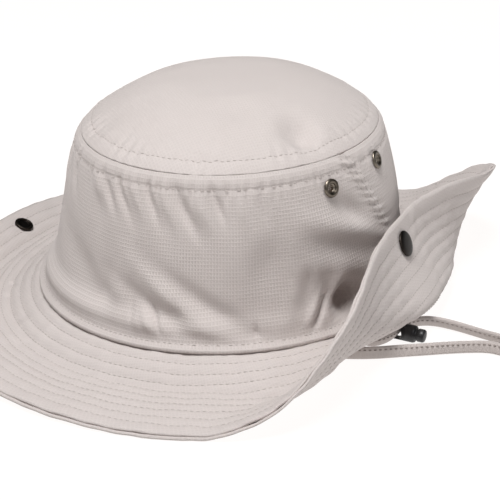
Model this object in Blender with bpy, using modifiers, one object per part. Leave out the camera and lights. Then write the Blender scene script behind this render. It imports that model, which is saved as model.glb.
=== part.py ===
"""Safari hat: domed oval tip, two-panel crown, two-ply brim snapped up on one side, vent eyelets,
snap fasteners, and a chin strap with a cord lock. Metres, +Z up. +X is the snapped-up side, -Y the
front. The origin is on the ground below the middle of the hat."""

import math

import bmesh
import bpy
import numpy as np
from mathutils import Matrix, Vector

# Cloth
CROWN_CLOTH = 0.0014
BRIM_PLY = 0.0012
GAP = 0.0003
SEAM_GAP = 0.0010

# Crown: outer half sizes at the brim seam, and how far the wall leans in up to the tip seam
BASE_HALF_WIDTH = 0.0915
BASE_HALF_LENGTH = 0.100
SIDE_TAPER = 0.0228
END_TAPER = 0.0210
TIP_HALF_WIDTH = BASE_HALF_WIDTH - SIDE_TAPER
TIP_HALF_LENGTH = BASE_HALF_LENGTH - END_TAPER
TIP_SHIFT_SIDE = 0.0018
TIP_SHIFT_FRONT = 0.0015
CROWN_HEIGHT = 0.0770
DOME_HEIGHT = 0.0220
SEAM_HEIGHT = 0.0110

# The side seams' lean to the front at the top, in degrees
SEAM_LEAN = 14.8

# Brim
BRIM_WIDTH = 0.0596
RIM_LIP = 0.0012

# Moves the hat so that its box is centred over the origin
CENTRE_X = 0.0145
CENTRE_Y = 0.0002

# Metal pieces
EYELET_RADIUS = 0.0043
EYELET_HOLE = 0.0024
EYELET_SHEET = 0.0004
EYELET_SPREAD = 0.0235
EYELET_BELOW_TIP = 0.0110
EYELET_STEP = 0.0012
EYELET_BED = 0.0005
SNAP_CAP_RADIUS = 0.0062
SNAP_CAP_HEIGHT = 0.0016
SNAP_SOCKET_RADIUS = 0.0050
SNAP_SOCKET_HEIGHT = 0.0013
SNAP_POST_RADIUS = 0.0018
SNAP_STUD_RADIUS = 0.0021
SNAP_RECESS_RADIUS = 0.0034
SNAP_FLANGE = 0.0004
SNAP_FROM_RIM = 0.0105
SNAP_BED = 0.0007
STUD_FLANGE_RADIUS = 0.0036
STUD_BED = 0.0006

# Chin strap and cord lock
STRAP_RADIUS = 0.0030
LOCK_RADIUS = 0.0041
LOCK_LENGTH = 0.0150
LOCK_KNOB_RADIUS = 0.0031
LOCK_KNOB_LENGTH = 0.0045
LOCK_SPOT = (0.0995, -0.0170)

# How finely the surfaces are cut
AROUND = 60
BRIM_ROWS = 9
TIP_ROWS = 5

# Wall of the crown: height as a share of CROWN_HEIGHT, inset as a share of the way from the base
# oval to the tip oval
WALL_SECTION = (
    # height, inset
    (0.00, 0.00),
    (0.05, 0.17),
    (0.14, 0.32),
    (0.30, 0.44),
    (0.48, 0.55),
    (0.66, 0.65),
    (0.80, 0.75),
    (0.90, 0.84),
    (0.96, 0.905),
    (1.00, 1.00),
)

# Tip panel: distance from the middle as a share of the tip oval, rise as a share of DOME_HEIGHT
TIP_SECTION = (
    # distance, rise
    (1.00, 0.00),
    (0.955, 0.14),
    (0.80, 0.47),
    (0.60, 0.78),
    (0.35, 0.96),
    (0.00, 1.00),
)

# Brim: at each angle of the crown, where the rim stands from the brim seam, as shares of
# BRIM_WIDTH, and the slope of the cloth in degrees at the seam and at the rim
BRIM_SECTIONS = (
    # angle, out, along, rise, seam slope, rim slope
    (-180, 0.765, 0.00, 0.005, -28, 18),
    (-145, 0.895, 0.00, -0.060, -26, 8),
    (-110, 0.955, 0.00, -0.078, -23, 2),
    (-90, 0.960, 0.00, -0.108, -22, 1),
    (-77, 0.965, 0.00, -0.130, -22, 0),
    (-66, 0.960, -0.01, -0.138, -21, 1),
    (-57, 0.960, -0.08, -0.048, -15, 11),
    (-49, 0.930, -0.17, 0.088, -10, 23),
    (-41, 0.850, -0.25, 0.310, -6, 44),
    (-32, 0.690, -0.31, 0.540, -4, 68),
    (-23, 0.430, -0.31, 0.690, 2, 88),
    (-14, 0.170, -0.24, 0.715, 6, 99),
    (-5, -0.010, -0.080, 0.685, 8, 103),
    (3, -0.045, 0.03, 0.685, 2, 103),
    (12, -0.020, 0.07, 0.690, -2, 101),
    (20, 0.095, 0.07, 0.695, -8, 94),
    (29, 0.330, 0.08, 0.695, -12, 80),
    (40, 0.680, 0.06, 0.615, -12, 60),
    (48, 0.910, 0.05, 0.555, -12, 50),
    (57, 0.975, -0.03, 0.435, -12, 38),
    (67, 0.965, -0.09, 0.205, -14, 24),
    (76, 0.955, -0.13, -0.030, -16, 8),
    (87, 0.955, -0.11, -0.150, -22, 0),
    (109, 0.955, -0.07, -0.162, -24, -2),
    (145, 0.875, -0.02, -0.100, -26, 7),
)

# Dents and folds of the crown: place as an angle and a height share (over 1 is on the tip, as
# 2 minus the distance share), reach in degrees and in height share, depth in cloth thicknesses
FOLDS = (
    # angle, height, reach around, reach up, depth
    (-28, 0.22, 3, 0.16, -1.3),
    (-19, 0.13, 6, 0.09, -6.0),
    (0, 0.255, 13, 0.125, 2.8),
    (4, 0.500, 38, 0.400, 1.5),
    (20, 0.36, 7, 0.06, -1.2),
    (-76, 0.14, 3, 0.12, -0.9),
    (-92, 0.20, 3, 0.14, -0.8),
    (-101, 0.24, 3, 0.14, -0.9),
    (-108, 0.74, 3, 0.16, -0.7),
    (-93, 0.76, 3, 0.16, -0.6),
    (-80, 0.74, 3, 0.14, -0.6),
    (-66, 0.76, 3, 0.14, -0.5),
    (-160, 0.50, 6, 0.20, -1.0),
    (100, 0.25, 5, 0.14, -1.0),
    (62, 0.30, 5, 0.16, -1.1),
    (-28, 1.22, 9, 0.10, -2.0),
    (-52, 1.42, 16, 0.14, -1.2),
)

# Route of the chin strap on the ground, from its sewn end at +X round to the one at -X
STRAP_ROUTE = (
    # x, y, height of the middle
    (0.0810, 0.0000, 0.0100),
    (0.0775, -0.0130, 0.0055),
    (0.0815, -0.0300, 0.0040),
    (0.0915, -0.0335, 0.0040),
    (0.0967, -0.0255, 0.0041),
    (0.0975, -0.0175, 0.0041),
    (0.0983, -0.0095, 0.0041),
    (0.1055, 0.0000, 0.0036),
    (0.1180, 0.0020, 0.0032),
    (0.1400, -0.0010, 0.0032),
    (0.1700, -0.0020, 0.0032),
    (0.2050, 0.0030, 0.0032),
    (0.2290, -0.0090, 0.0032),
    (0.2320, -0.0290, 0.0032),
    (0.2150, -0.0400, 0.0032),
    (0.1850, -0.0330, 0.0032),
    (0.1600, -0.0180, 0.0032),
    (0.1440, -0.0110, 0.0032),
    (0.1300, -0.0170, 0.0032),
    (0.1090, -0.0320, 0.0032),
    (0.0900, -0.0450, 0.0032),
    (0.0600, -0.0560, 0.0032),
    (0.0150, -0.0560, 0.0032),
    (-0.0300, -0.0380, 0.0032),
    (-0.0650, -0.0120, 0.0036),
    (-0.0810, 0.0000, 0.0100),
)

COLOURS = {
    # name: colour, roughness, metallic
    "cloth": ((0.62, 0.56, 0.52), 0.85, 0.0),
    "dark metal": ((0.045, 0.04, 0.038), 0.35, 1.0),
    "aged brass": ((0.20, 0.15, 0.09), 0.32, 1.0),
    "black plastic": ((0.012, 0.012, 0.013), 0.4, 0.0),
}


def clear_scene():
    for obj in list(bpy.data.objects):
        bpy.data.objects.remove(obj, do_unlink=True)


def collection(name):
    found = bpy.data.collections.new(name)
    bpy.context.scene.collection.children.link(found)
    return found


def material(name, kind):
    colour, roughness, metallic = COLOURS[kind]
    made = bpy.data.materials.new(name)
    made.use_nodes = True
    shader = made.node_tree.nodes["Principled BSDF"]
    shader.inputs["Base Color"].default_value = (*colour, 1.0)
    shader.inputs["Roughness"].default_value = roughness
    shader.inputs["Metallic"].default_value = metallic
    made.diffuse_color = (*colour, 1.0)
    return made


def table(rows):
    return np.array(rows, float)


def periodic(angles, values, at):
    """Smooth curve through values at angles in degrees, closed after a full turn."""
    count = len(angles)
    at = (np.asarray(at, float) - angles[0]) % 360 + angles[0]
    left = np.clip(np.searchsorted(angles, at, side="right") - 1, 0, count - 1)
    wrapped = np.concatenate([[angles[-1] - 360], angles, [angles[0] + 360, angles[1] + 360]])
    padded = np.concatenate([[values[-1]], values, [values[0], values[1]]])
    slopes = (padded[2:] - padded[:-2]) / (wrapped[2:] - wrapped[:-2])
    width = wrapped[left + 2] - wrapped[left + 1]
    t = (at - wrapped[left + 1]) / width
    start, end = padded[left + 1], padded[left + 2]
    rise, fall = slopes[left] * width, slopes[left + 1] * width
    return (
        (2 * t**3 - 3 * t**2 + 1) * start
        + (t**3 - 2 * t**2 + t) * rise
        + (3 * t**2 - 2 * t**3) * end
        + (t**3 - t**2) * fall
    )


def oval(angle, half_width, half_length):
    return np.array([half_width * math.cos(angle), half_length * math.sin(angle)])


def oval_out(angle, half_width, half_length):
    out = np.array([math.cos(angle) / half_width, math.sin(angle) / half_length])
    return out / np.linalg.norm(out)


def fold_depth(angle, height):
    """How far the crown's face moves out at an angle in degrees and a height share."""
    total = 0.0
    for place, share, around, up, depth in FOLDS:
        turn = (angle - place + 180) % 360 - 180
        total += depth * math.exp(-((turn / around) ** 2) - ((height - share) / up) ** 2)
    return total * CROWN_CLOTH


def wall_point(angle, height):
    """Outer face of the crown's wall: angle in radians, height share."""
    rows = table(WALL_SECTION)
    inset = float(np.interp(height, rows[:, 0], rows[:, 1]))
    half_width = BASE_HALF_WIDTH + (TIP_HALF_WIDTH - BASE_HALF_WIDTH) * inset
    half_length = BASE_HALF_LENGTH + (TIP_HALF_LENGTH - BASE_HALF_LENGTH) * inset
    edge = min(1.0, 8 * height) * min(1.0, 8 * (1 - height))
    out = oval_out(angle, half_width, half_length)
    xy = oval(angle, half_width, half_length) + out * fold_depth(math.degrees(angle), height) * edge
    level = SEAM_HEIGHT + hem_lift() * (1 - height) + CROWN_HEIGHT * height
    xy = xy + inset * np.array([TIP_SHIFT_SIDE, -TIP_SHIFT_FRONT])
    return np.array([xy[0] + CENTRE_X, xy[1] + CENTRE_Y, level])


def side_seam(side, height):
    """Angle of a side seam at a height share: on the snapped-up side it leans to the front above the snap."""
    lean = math.radians(SEAM_LEAN) * max(0.0, height - 0.5) / 0.5
    return -lean if side == "right" else math.pi


def hem_lift():
    """How much higher the wall's outer edge stands than its inner one, where it flares at the seam."""
    foot = WALL_SECTION[1]
    flare = math.atan2(foot[1] * (BASE_HALF_WIDTH - TIP_HALF_WIDTH), foot[0] * CROWN_HEIGHT)
    return CROWN_CLOTH * math.sin(flare)


def wall_out(angle, height, step=0.02):
    """Outward normal of the crown's wall."""
    around = wall_point(angle + step, height) - wall_point(angle - step, height)
    up = wall_point(angle, height + step) - wall_point(angle, height - step)
    out = np.cross(around, up)
    return out / np.linalg.norm(out)


def tip_point(angle, share):
    """Outer face of the tip panel: share 1 at its seam, 0 in the middle."""
    rows = table(TIP_SECTION)[::-1]
    rise = float(np.interp(share, rows[:, 0], rows[:, 1]))
    xy = oval(angle, TIP_HALF_WIDTH * share, TIP_HALF_LENGTH * share)
    xy = xy + np.array([TIP_SHIFT_SIDE, -TIP_SHIFT_FRONT])
    dent = fold_depth(math.degrees(angle), 2 - share) * min(1.0, 8 * (1 - share))
    height = SEAM_HEIGHT + CROWN_HEIGHT + DOME_HEIGHT * rise + dent
    return np.array([xy[0] + CENTRE_X, xy[1] + CENTRE_Y, height])


def bend(out, along, rise, seam_slope, rim_slope, outward, tangent, length, rows):
    """Points of one brim section: a cubic curve whose handles are long enough that the cloth
    keeps its width."""
    end = np.array([*(outward * out + tangent * along), rise])
    aim = outward + tangent * (along / max(abs(out), 0.4 * length))
    aim /= np.linalg.norm(aim)
    first = np.array([*(outward * math.cos(seam_slope)), math.sin(seam_slope)])
    last = np.array([*(aim * math.cos(rim_slope)), math.sin(rim_slope)])
    steps = np.linspace(0, 1, 49)[:, None]
    low, high = 0.1 * length, 1.4 * length
    for _ in range(24):
        handle = (low + high) / 2
        points = (
            3 * (1 - steps) ** 2 * steps * (first * handle)
            + 3 * (1 - steps) * steps**2 * (end - last * handle)
            + steps**3 * end
        )
        run = np.concatenate([[0], np.cumsum(np.linalg.norm(np.diff(points, axis=0), axis=1))])
        if run[-1] < length:
            low = handle
        else:
            high = handle
    places = np.linspace(0, run[-1], rows)
    return np.stack([np.interp(places, run, points[:, k]) for k in range(3)], 1)


def brim_grid(extra):
    """Middle surface of the brim, a row of points from the seam to the rim at each angle, the last
    one run on by the extra width."""
    sections = table(BRIM_SECTIONS)
    half_width = BASE_HALF_WIDTH - CROWN_CLOTH
    half_length = BASE_HALF_LENGTH - CROWN_CLOTH
    level = SEAM_HEIGHT - GAP - BRIM_PLY - GAP / 2
    ground = BRIM_PLY + GAP / 2
    grid = []
    for step in range(AROUND):
        degrees = 360 * step / AROUND
        values = [periodic(sections[:, 0], sections[:, k], degrees) for k in range(1, 6)]
        out, along, rise = (float(v) * BRIM_WIDTH for v in values[:3])
        seam_slope, rim_slope = (math.radians(float(v)) for v in values[3:])
        angle = math.radians(degrees)
        outward = oval_out(angle, half_width, half_length)
        tangent = np.array([-outward[1], outward[0]])
        length = BRIM_WIDTH + CROWN_CLOTH
        points = bend(out, along, rise, seam_slope, rim_slope, outward, tangent, length, BRIM_ROWS)
        points[-1] += (points[-1] - points[-2]) * (extra * (BRIM_ROWS - 1) / length)
        root = oval(angle, half_width, half_length)
        points = points + np.array([root[0] + CENTRE_X, root[1] + CENTRE_Y, level])
        points[:, 2] = np.maximum(points[:, 2], ground)
        grid.append(points)
    return np.array(grid)


def grid_normals(grid):
    around = np.roll(grid, -1, 0) - np.roll(grid, 1, 0)
    across = np.gradient(grid, axis=1)
    out = np.cross(across, around)
    return out / np.linalg.norm(out, axis=2)[:, :, None]


def surface(name, grid, kind, group, closed, middle=None):
    """Open surface through a grid of points, as an object. A closed grid goes round; middle is a
    point that its last column runs to."""
    mesh = bmesh.new()
    verts = [[mesh.verts.new(Vector(point)) for point in row] for row in grid]
    count = len(verts)
    for i in range(count if closed else count - 1):
        here, there = verts[i], verts[(i + 1) % count]
        for j in range(len(here) - 1):
            mesh.faces.new((here[j], here[j + 1], there[j + 1], there[j]))
    if middle is not None:
        hub = mesh.verts.new(Vector(middle))
        for i in range(count):
            mesh.faces.new((verts[i][-1], hub, verts[(i + 1) % count][-1]))
    data = bpy.data.meshes.new(name)
    mesh.to_mesh(data)
    mesh.free()
    obj = bpy.data.objects.new(name, data)
    obj.data.materials.append(material(name + " material", kind))
    obj.data.shade_smooth()
    group.objects.link(obj)
    return obj


def thicken(obj, thickness, side):
    """Gives an open surface its cloth: side 1 grows along its normals, -1 against them."""
    cloth = obj.modifiers.new("Cloth", "SOLIDIFY")
    cloth.thickness = thickness
    cloth.offset = side
    return cloth


def face_out(obj, centre):
    """Turns the faces of an open surface away from a point."""
    mesh = bmesh.new()
    mesh.from_mesh(obj.data)
    total = sum(
        face.normal.dot(face.calc_center_median() - Vector(centre)) for face in mesh.faces
    )
    if total < 0:
        bmesh.ops.reverse_faces(mesh, faces=mesh.faces)
    mesh.to_mesh(obj.data)
    mesh.free()


def realised(obj):
    """The object with its modifiers made part of its mesh."""
    graph = bpy.context.evaluated_depsgraph_get()
    data = bpy.data.meshes.new_from_object(obj.evaluated_get(graph))
    obj.modifiers.clear()
    obj.data = data
    return obj


def press_flat(obj):
    """Flattens what reaches the ground."""
    for vertex in obj.data.vertices:
        vertex.co.z = max(vertex.co.z, 0.0)


def turned(name, profile, kind, group, steps=16):
    """Solid of revolution about its Z axis from (radius, height) pairs, which run down its outside
    from top to bottom and back up its bore, if it has one."""
    mesh = bmesh.new()
    verts = [mesh.verts.new((radius, 0, height)) for radius, height in profile]
    for one, other in zip(verts, verts[1:]):
        mesh.edges.new((one, other))
    if profile[0][0] > 0:
        mesh.edges.new((verts[-1], verts[0]))
    data = bpy.data.meshes.new(name)
    mesh.to_mesh(data)
    mesh.free()
    obj = bpy.data.objects.new(name, data)
    obj.data.materials.append(material(name + " material", kind))
    group.objects.link(obj)
    screw = obj.modifiers.new("Turn", "SCREW")
    screw.axis = "Z"
    screw.steps = steps
    screw.render_steps = steps
    screw.use_merge_vertices = True
    screw.merge_threshold = 0.00001
    screw.use_smooth_shade = True
    return obj


def place(obj, spot, axis):
    """Puts an object at a spot with its Z along an axis."""
    turn = Vector(axis).to_track_quat("Z", "Y").to_matrix().to_4x4()
    obj.matrix_world = Matrix.Translation(Vector(spot)) @ turn


def cutter(name, radius, length, spot, axis, group):
    mesh = bmesh.new()
    bmesh.ops.create_cone(mesh, cap_ends=True, segments=16, radius1=radius, radius2=radius,
                          depth=length)
    data = bpy.data.meshes.new(name)
    mesh.to_mesh(data)
    mesh.free()
    obj = bpy.data.objects.new(name, data)
    obj.hide_render = True
    obj.display_type = "WIRE"
    group.objects.link(obj)
    place(obj, spot, axis)
    return obj


def cut(obj, tool):
    hole = obj.modifiers.new("Hole " + tool.name, "BOOLEAN")
    hole.operation = "DIFFERENCE"
    hole.object = tool


def wall_place(angle, height):
    """Middle of the cloth's outer face and its normal, at an angle and a height over the ground."""
    share = (height - SEAM_HEIGHT) / CROWN_HEIGHT
    return wall_point(angle, share), wall_out(angle, share)


def build_crown(group):
    """Front and back panels, which meet at the side seams, and the domed tip."""
    panels = []
    columns = [row[0] for row in WALL_SECTION]
    columns[-1] = 1 - SEAM_GAP / 2 / CROWN_HEIGHT
    half = AROUND // 2
    slack = GAP / 2 / BASE_HALF_WIDTH * 1.2
    for name, back in (("crown_front_panel", False), ("crown_back_panel", True)):
        grid = []
        for i in range(half + 1):
            row = []
            for height in columns:
                right, left = side_seam("right", height), side_seam("left", height)
                start, end = (right, left) if back else (left - 2 * math.pi, right)
                row.append(wall_point(start + slack + (end - start - 2 * slack) * i / half, height))
            grid.append(row)
        panel = surface(name, grid, "cloth", group, closed=False)
        face_out(panel, (CENTRE_X, CENTRE_Y, SEAM_HEIGHT + CROWN_HEIGHT / 2))
        thicken(panel, CROWN_CLOTH, -1)
        panels.append(panel)
    edge = 1 - SEAM_GAP / (TIP_HALF_WIDTH + TIP_HALF_LENGTH)
    shares = [edge] + [row[0] for row in TIP_SECTION[1:TIP_ROWS]]
    turns = [2 * math.pi * i / AROUND for i in range(AROUND)]
    grid = [[tip_point(angle, share) for share in shares] for angle in turns]
    tip = surface("crown_tip", grid, "cloth", group, closed=True, middle=tip_point(0, 0))
    face_out(tip, (CENTRE_X, CENTRE_Y, SEAM_HEIGHT))
    thicken(tip, CROWN_CLOTH, -1)
    return panels, tip


def build_brim(group):
    """Upper and lower plies, bagged out at the rim, where the lower one shows as a lip."""
    made = []
    for name, extra, side in (("brim_upper", 0.0, 1), ("brim_lower", RIM_LIP, -1)):
        grid = brim_grid(extra)
        grid = grid + grid_normals(grid) * (side * GAP / 2)
        ply = surface(name, grid, "cloth", group, closed=True)
        face_out(ply, (CENTRE_X, CENTRE_Y, -1.0))
        thicken(ply, BRIM_PLY, side)
        realised(ply)
        press_flat(ply)
        ply.data.shade_smooth()
        made.append(ply)
    return made


def brim_spot(column):
    """Where a snap goes through the brim at an angle, and the brim's upward normal there."""
    grid = brim_grid(0.0)
    normals = grid_normals(grid)
    row = (1 - SNAP_FROM_RIM / (BRIM_WIDTH + CROWN_CLOTH)) * (BRIM_ROWS - 1)
    low = int(row)
    share = row - low
    spot = grid[column][low] * (1 - share) + grid[column][low + 1] * share
    out = normals[column][low] * (1 - share) + normals[column][low + 1] * share
    return spot, out / np.linalg.norm(out)


def eyelet_profile(cloth):
    """Rolled rim outside and inside of the cloth, with a barrel through it."""
    half = cloth / 2 + EYELET_BED
    bore = EYELET_HOLE - EYELET_SHEET
    return (
        (bore, half + 1.2 * EYELET_SHEET),
        (0.62 * EYELET_RADIUS, half + 2.2 * EYELET_SHEET),
        (0.88 * EYELET_RADIUS, half + 1.9 * EYELET_SHEET),
        (EYELET_RADIUS, half + 0.6 * EYELET_SHEET),
        (EYELET_RADIUS, half),
        (EYELET_HOLE, half),
        (EYELET_HOLE, -half),
        (0.86 * EYELET_RADIUS, -half),
        (0.80 * EYELET_RADIUS, -half - EYELET_SHEET),
        (bore, -half - EYELET_SHEET),
    )


def build_eyelets(panels, group, tools):
    for side in ("right", "left"):
        for name, turn, panel in (("front", -1, panels[0]), ("back", 1, panels[1])):
            height = SEAM_HEIGHT + CROWN_HEIGHT - EYELET_BELOW_TIP + turn * EYELET_STEP
            share = (height - SEAM_HEIGHT) / CROWN_HEIGHT
            spread = EYELET_SPREAD / BASE_HALF_LENGTH
            angle = side_seam(side, share) + turn * spread * (1 if side == "right" else -1)
            spot, out = wall_place(angle, height)
            middle = spot - out * (CROWN_CLOTH / 2)
            eyelet = turned(f"eyelet_{side}_{name}", eyelet_profile(CROWN_CLOTH), "aged brass",
                            group, steps=14)
            place(eyelet, middle, out)
            tool = cutter(f"eyelet hole {side} {name}", EYELET_HOLE + GAP, 8 * CROWN_CLOTH,
                          middle, out, tools)
            cut(panel, tool)


def build_snaps(panels, plies, group, tools):
    """A cap and socket clenched through the brim, and a stud through the crown, on each side."""
    brim_half = BRIM_PLY + GAP / 2
    for side, column, angle in (("right", 0, 0.0), ("left", AROUND // 2, math.pi)):
        spot, up = brim_spot(column)
        face = brim_half + GAP
        bed = brim_half + SNAP_BED
        snap = turned(
            f"brim_snap_{side}",
            (
                (SNAP_POST_RADIUS, face + 0.3 * SNAP_SOCKET_HEIGHT),
                (SNAP_RECESS_RADIUS, face + 0.3 * SNAP_SOCKET_HEIGHT),
                (SNAP_RECESS_RADIUS, face + SNAP_SOCKET_HEIGHT),
                (0.92 * SNAP_SOCKET_RADIUS, face + SNAP_SOCKET_HEIGHT),
                (SNAP_SOCKET_RADIUS, face + 0.7 * SNAP_SOCKET_HEIGHT),
                (SNAP_SOCKET_RADIUS, face),
                (SNAP_POST_RADIUS, face),
                (SNAP_POST_RADIUS, -bed),
                (SNAP_CAP_RADIUS, -bed),
                (0.97 * SNAP_CAP_RADIUS, -bed - 0.55 * SNAP_CAP_HEIGHT),
                (0.70 * SNAP_CAP_RADIUS, -bed - 0.92 * SNAP_CAP_HEIGHT),
                (0.0, -bed - SNAP_CAP_HEIGHT),
            ),
            "dark metal", group, steps=16,
        )
        snap.data.vertices[0].co.x = 0.0
        place(snap, spot, up)
        for ply in plies:
            tool = cutter(f"snap hole {ply.name} {side}", SNAP_POST_RADIUS + GAP, 12 * BRIM_PLY,
                          spot, up, tools)
            cut(ply, tool)
        joined, toward = brim_spot(0)
        stack = brim_half + SNAP_SOCKET_HEIGHT + SNAP_FLANGE + 2 * GAP + STUD_BED
        stud_height = joined[2] + toward[2] * stack
        seat, out = wall_place(angle, stud_height)
        reach = CROWN_CLOTH / 2 + STUD_BED
        stud = turned(
            f"crown_stud_{side}",
            (
                (0.0, reach + SNAP_FLANGE + 0.0013),
                (SNAP_STUD_RADIUS, reach + SNAP_FLANGE + 0.0010),
                (SNAP_STUD_RADIUS, reach + SNAP_FLANGE + 0.0006),
                (0.8 * SNAP_STUD_RADIUS, reach + SNAP_FLANGE),
                (0.95 * STUD_FLANGE_RADIUS, reach + SNAP_FLANGE),
                (STUD_FLANGE_RADIUS, reach),
                (SNAP_POST_RADIUS, reach),
                (SNAP_POST_RADIUS, -reach),
                (STUD_FLANGE_RADIUS, -reach),
                (0.95 * STUD_FLANGE_RADIUS, -reach - SNAP_FLANGE),
                (0.0, -reach - SNAP_FLANGE),
            ),
            "dark metal", group, steps=14,
        )
        middle = seat - out * (CROWN_CLOTH / 2)
        place(stud, middle, out)
        for panel in panels:
            tool = cutter(f"stud hole {panel.name} {side}", SNAP_POST_RADIUS + GAP,
                          10 * CROWN_CLOTH, middle, out, tools)
            cut(panel, tool)


def smooth_route(points, spacing):
    """Evenly spaced points on a smooth curve through the given ones."""
    points = np.array(points, float)
    padded = np.concatenate([[2 * points[0] - points[1]], points, [2 * points[-1] - points[-2]]])
    fine = []
    for a, b, c, d in zip(padded, padded[1:], padded[2:], padded[3:]):
        for t in np.linspace(0, 1, 12, endpoint=False):
            fine.append(0.5 * (2 * b + (c - a) * t + (2 * a - 5 * b + 4 * c - d) * t**2
                               + (3 * b - a - 3 * c + d) * t**3))
    fine = np.array(fine + [points[-1]])
    run = np.concatenate([[0], np.cumsum(np.linalg.norm(np.diff(fine, axis=0), axis=1))])
    places = np.linspace(0, run[-1], max(3, round(run[-1] / spacing)))
    return np.stack([np.interp(places, run, fine[:, k]) for k in range(3)], 1)


def build_strap(group, tools):
    """The chin strap, one length sewn in at both ends, and the cord lock that it runs through."""
    route = smooth_route(STRAP_ROUTE, 3.8 * STRAP_RADIUS)
    route = route + np.array([CENTRE_X, CENTRE_Y, 0])
    data = bpy.data.curves.new("chin_strap", "CURVE")
    data.dimensions = "3D"
    data.bevel_depth = STRAP_RADIUS
    data.bevel_resolution = 2
    data.use_fill_caps = True
    spline = data.splines.new("POLY")
    spline.points.add(len(route) - 1)
    for point, place_on in zip(spline.points, route):
        point.co = (*place_on, 1)
    strap = bpy.data.objects.new("chin_strap", data)
    strap.data.materials.append(material("chin_strap material", "cloth"))
    group.objects.link(strap)
    spot = (LOCK_SPOT[0] + CENTRE_X, LOCK_SPOT[1] + CENTRE_Y, LOCK_RADIUS)
    knob = LOCK_LENGTH / 2 + LOCK_KNOB_LENGTH
    lock = turned(
        "cord_lock",
        (
            (0.0, knob),
            (0.8 * LOCK_KNOB_RADIUS, knob),
            (LOCK_KNOB_RADIUS, knob - 0.0008),
            (LOCK_KNOB_RADIUS, LOCK_LENGTH / 2),
            (0.85 * LOCK_RADIUS, LOCK_LENGTH / 2),
            (LOCK_RADIUS, LOCK_LENGTH / 2 - 0.0010),
            (LOCK_RADIUS, -LOCK_LENGTH / 2 + 0.0016),
            (0.8 * LOCK_RADIUS, -LOCK_LENGTH / 2),
            (0.0, -LOCK_LENGTH / 2),
        ),
        "black plastic", group, steps=16,
    )
    place(lock, spot, (1, 0, 0))
    near = int(np.argmin(np.linalg.norm(route - np.array(spot), axis=1)))
    along = route[near + 1] - route[near - 1]
    bore = cutter("strap bore", STRAP_RADIUS + 2 * GAP, 4 * LOCK_RADIUS, route[near], along, tools)
    cut(lock, bore)


def main():
    clear_scene()
    group = collection("Safari hat")
    tools = collection("Cutters")
    panels, _ = build_crown(group)
    plies = build_brim(group)
    build_eyelets(panels, group, tools)
    build_snaps(panels, plies, group, tools)
    build_strap(group, tools)


main()
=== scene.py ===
"""Safari hat on a white ground, seen as in the photograph. Fine surfaces for the same sizes as the
solids: crown panels, tip and brim as woven cloth with seams, stitches, puckers and folds."""

import math

import bmesh
import bpy
import numpy as np
from mathutils import Matrix, Vector


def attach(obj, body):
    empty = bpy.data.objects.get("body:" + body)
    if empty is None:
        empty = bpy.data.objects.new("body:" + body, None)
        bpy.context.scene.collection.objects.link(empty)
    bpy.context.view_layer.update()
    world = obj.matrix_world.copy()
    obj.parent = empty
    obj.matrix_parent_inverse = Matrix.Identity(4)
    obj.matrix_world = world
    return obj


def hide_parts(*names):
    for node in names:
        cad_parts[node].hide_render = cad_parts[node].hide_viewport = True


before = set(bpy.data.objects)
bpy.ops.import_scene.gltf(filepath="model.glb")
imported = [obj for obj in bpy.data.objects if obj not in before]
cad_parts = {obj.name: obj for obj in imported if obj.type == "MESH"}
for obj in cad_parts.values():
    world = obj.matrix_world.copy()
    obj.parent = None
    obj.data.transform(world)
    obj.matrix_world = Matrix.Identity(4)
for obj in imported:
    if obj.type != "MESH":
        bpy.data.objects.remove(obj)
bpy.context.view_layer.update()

# Cloth
CROWN_CLOTH = 0.0014
BRIM_PLY = 0.0012
GAP = 0.0003
SEAM_GAP = 0.0010

# Crown: outer half sizes at the brim seam, and how far the wall leans in up to the tip seam
BASE_HALF_WIDTH = 0.0915
BASE_HALF_LENGTH = 0.100
SIDE_TAPER = 0.0228
END_TAPER = 0.0210
TIP_HALF_WIDTH = BASE_HALF_WIDTH - SIDE_TAPER
TIP_HALF_LENGTH = BASE_HALF_LENGTH - END_TAPER
TIP_SHIFT_SIDE = 0.0018
TIP_SHIFT_FRONT = 0.0015
CROWN_HEIGHT = 0.0770
DOME_HEIGHT = 0.0220
SEAM_HEIGHT = 0.0110

# The right side seam's lean to the front at the top, in degrees, and the height share where
# it starts
SEAM_LEAN = 14.8
LEAN_FROM = 0.5

# Brim
BRIM_WIDTH = 0.0596
RIM_LIP = 0.0012

# Moves the hat so that its box is centred over the origin
CENTRE_X = 0.0145
CENTRE_Y = 0.0002

# Metal pieces
EYELET_RADIUS = 0.0043
EYELET_HOLE = 0.0024
EYELET_SHEET = 0.0004
EYELET_SPREAD = 0.0235
EYELET_BELOW_TIP = 0.0110
EYELET_STEP = 0.0012
EYELET_BED = 0.0005
SNAP_CAP_RADIUS = 0.0062
SNAP_CAP_HEIGHT = 0.0016
SNAP_SOCKET_RADIUS = 0.0050
SNAP_SOCKET_HEIGHT = 0.0013
SNAP_POST_RADIUS = 0.0018
SNAP_STUD_RADIUS = 0.0021
SNAP_RECESS_RADIUS = 0.0034
SNAP_FLANGE = 0.0004
SNAP_FROM_RIM = 0.0105
SNAP_BED = 0.0007
STUD_FLANGE_RADIUS = 0.0036
STUD_BED = 0.0006
WIRES = 5
WIRE_RADIUS = 0.00016

# Chin strap and cord lock
STRAP_RADIUS = 0.0030
STRAP_HALF_WIDTH = 0.0029
STRAP_HALF_THICK = 0.0012
STRAP_LEAN = 14.0
STRAP_SWAY = 8
STRAP_SIDES = 20
STRAP_SIDE = 0.0008
STRAP_FLOOR = 0.00015
LOCK_RADIUS = 0.0041
LOCK_LENGTH = 0.0150
LOCK_KNOB_RADIUS = 0.0031
LOCK_KNOB_LENGTH = 0.0045
LOCK_SPOT = (0.0995, -0.0170)

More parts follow.
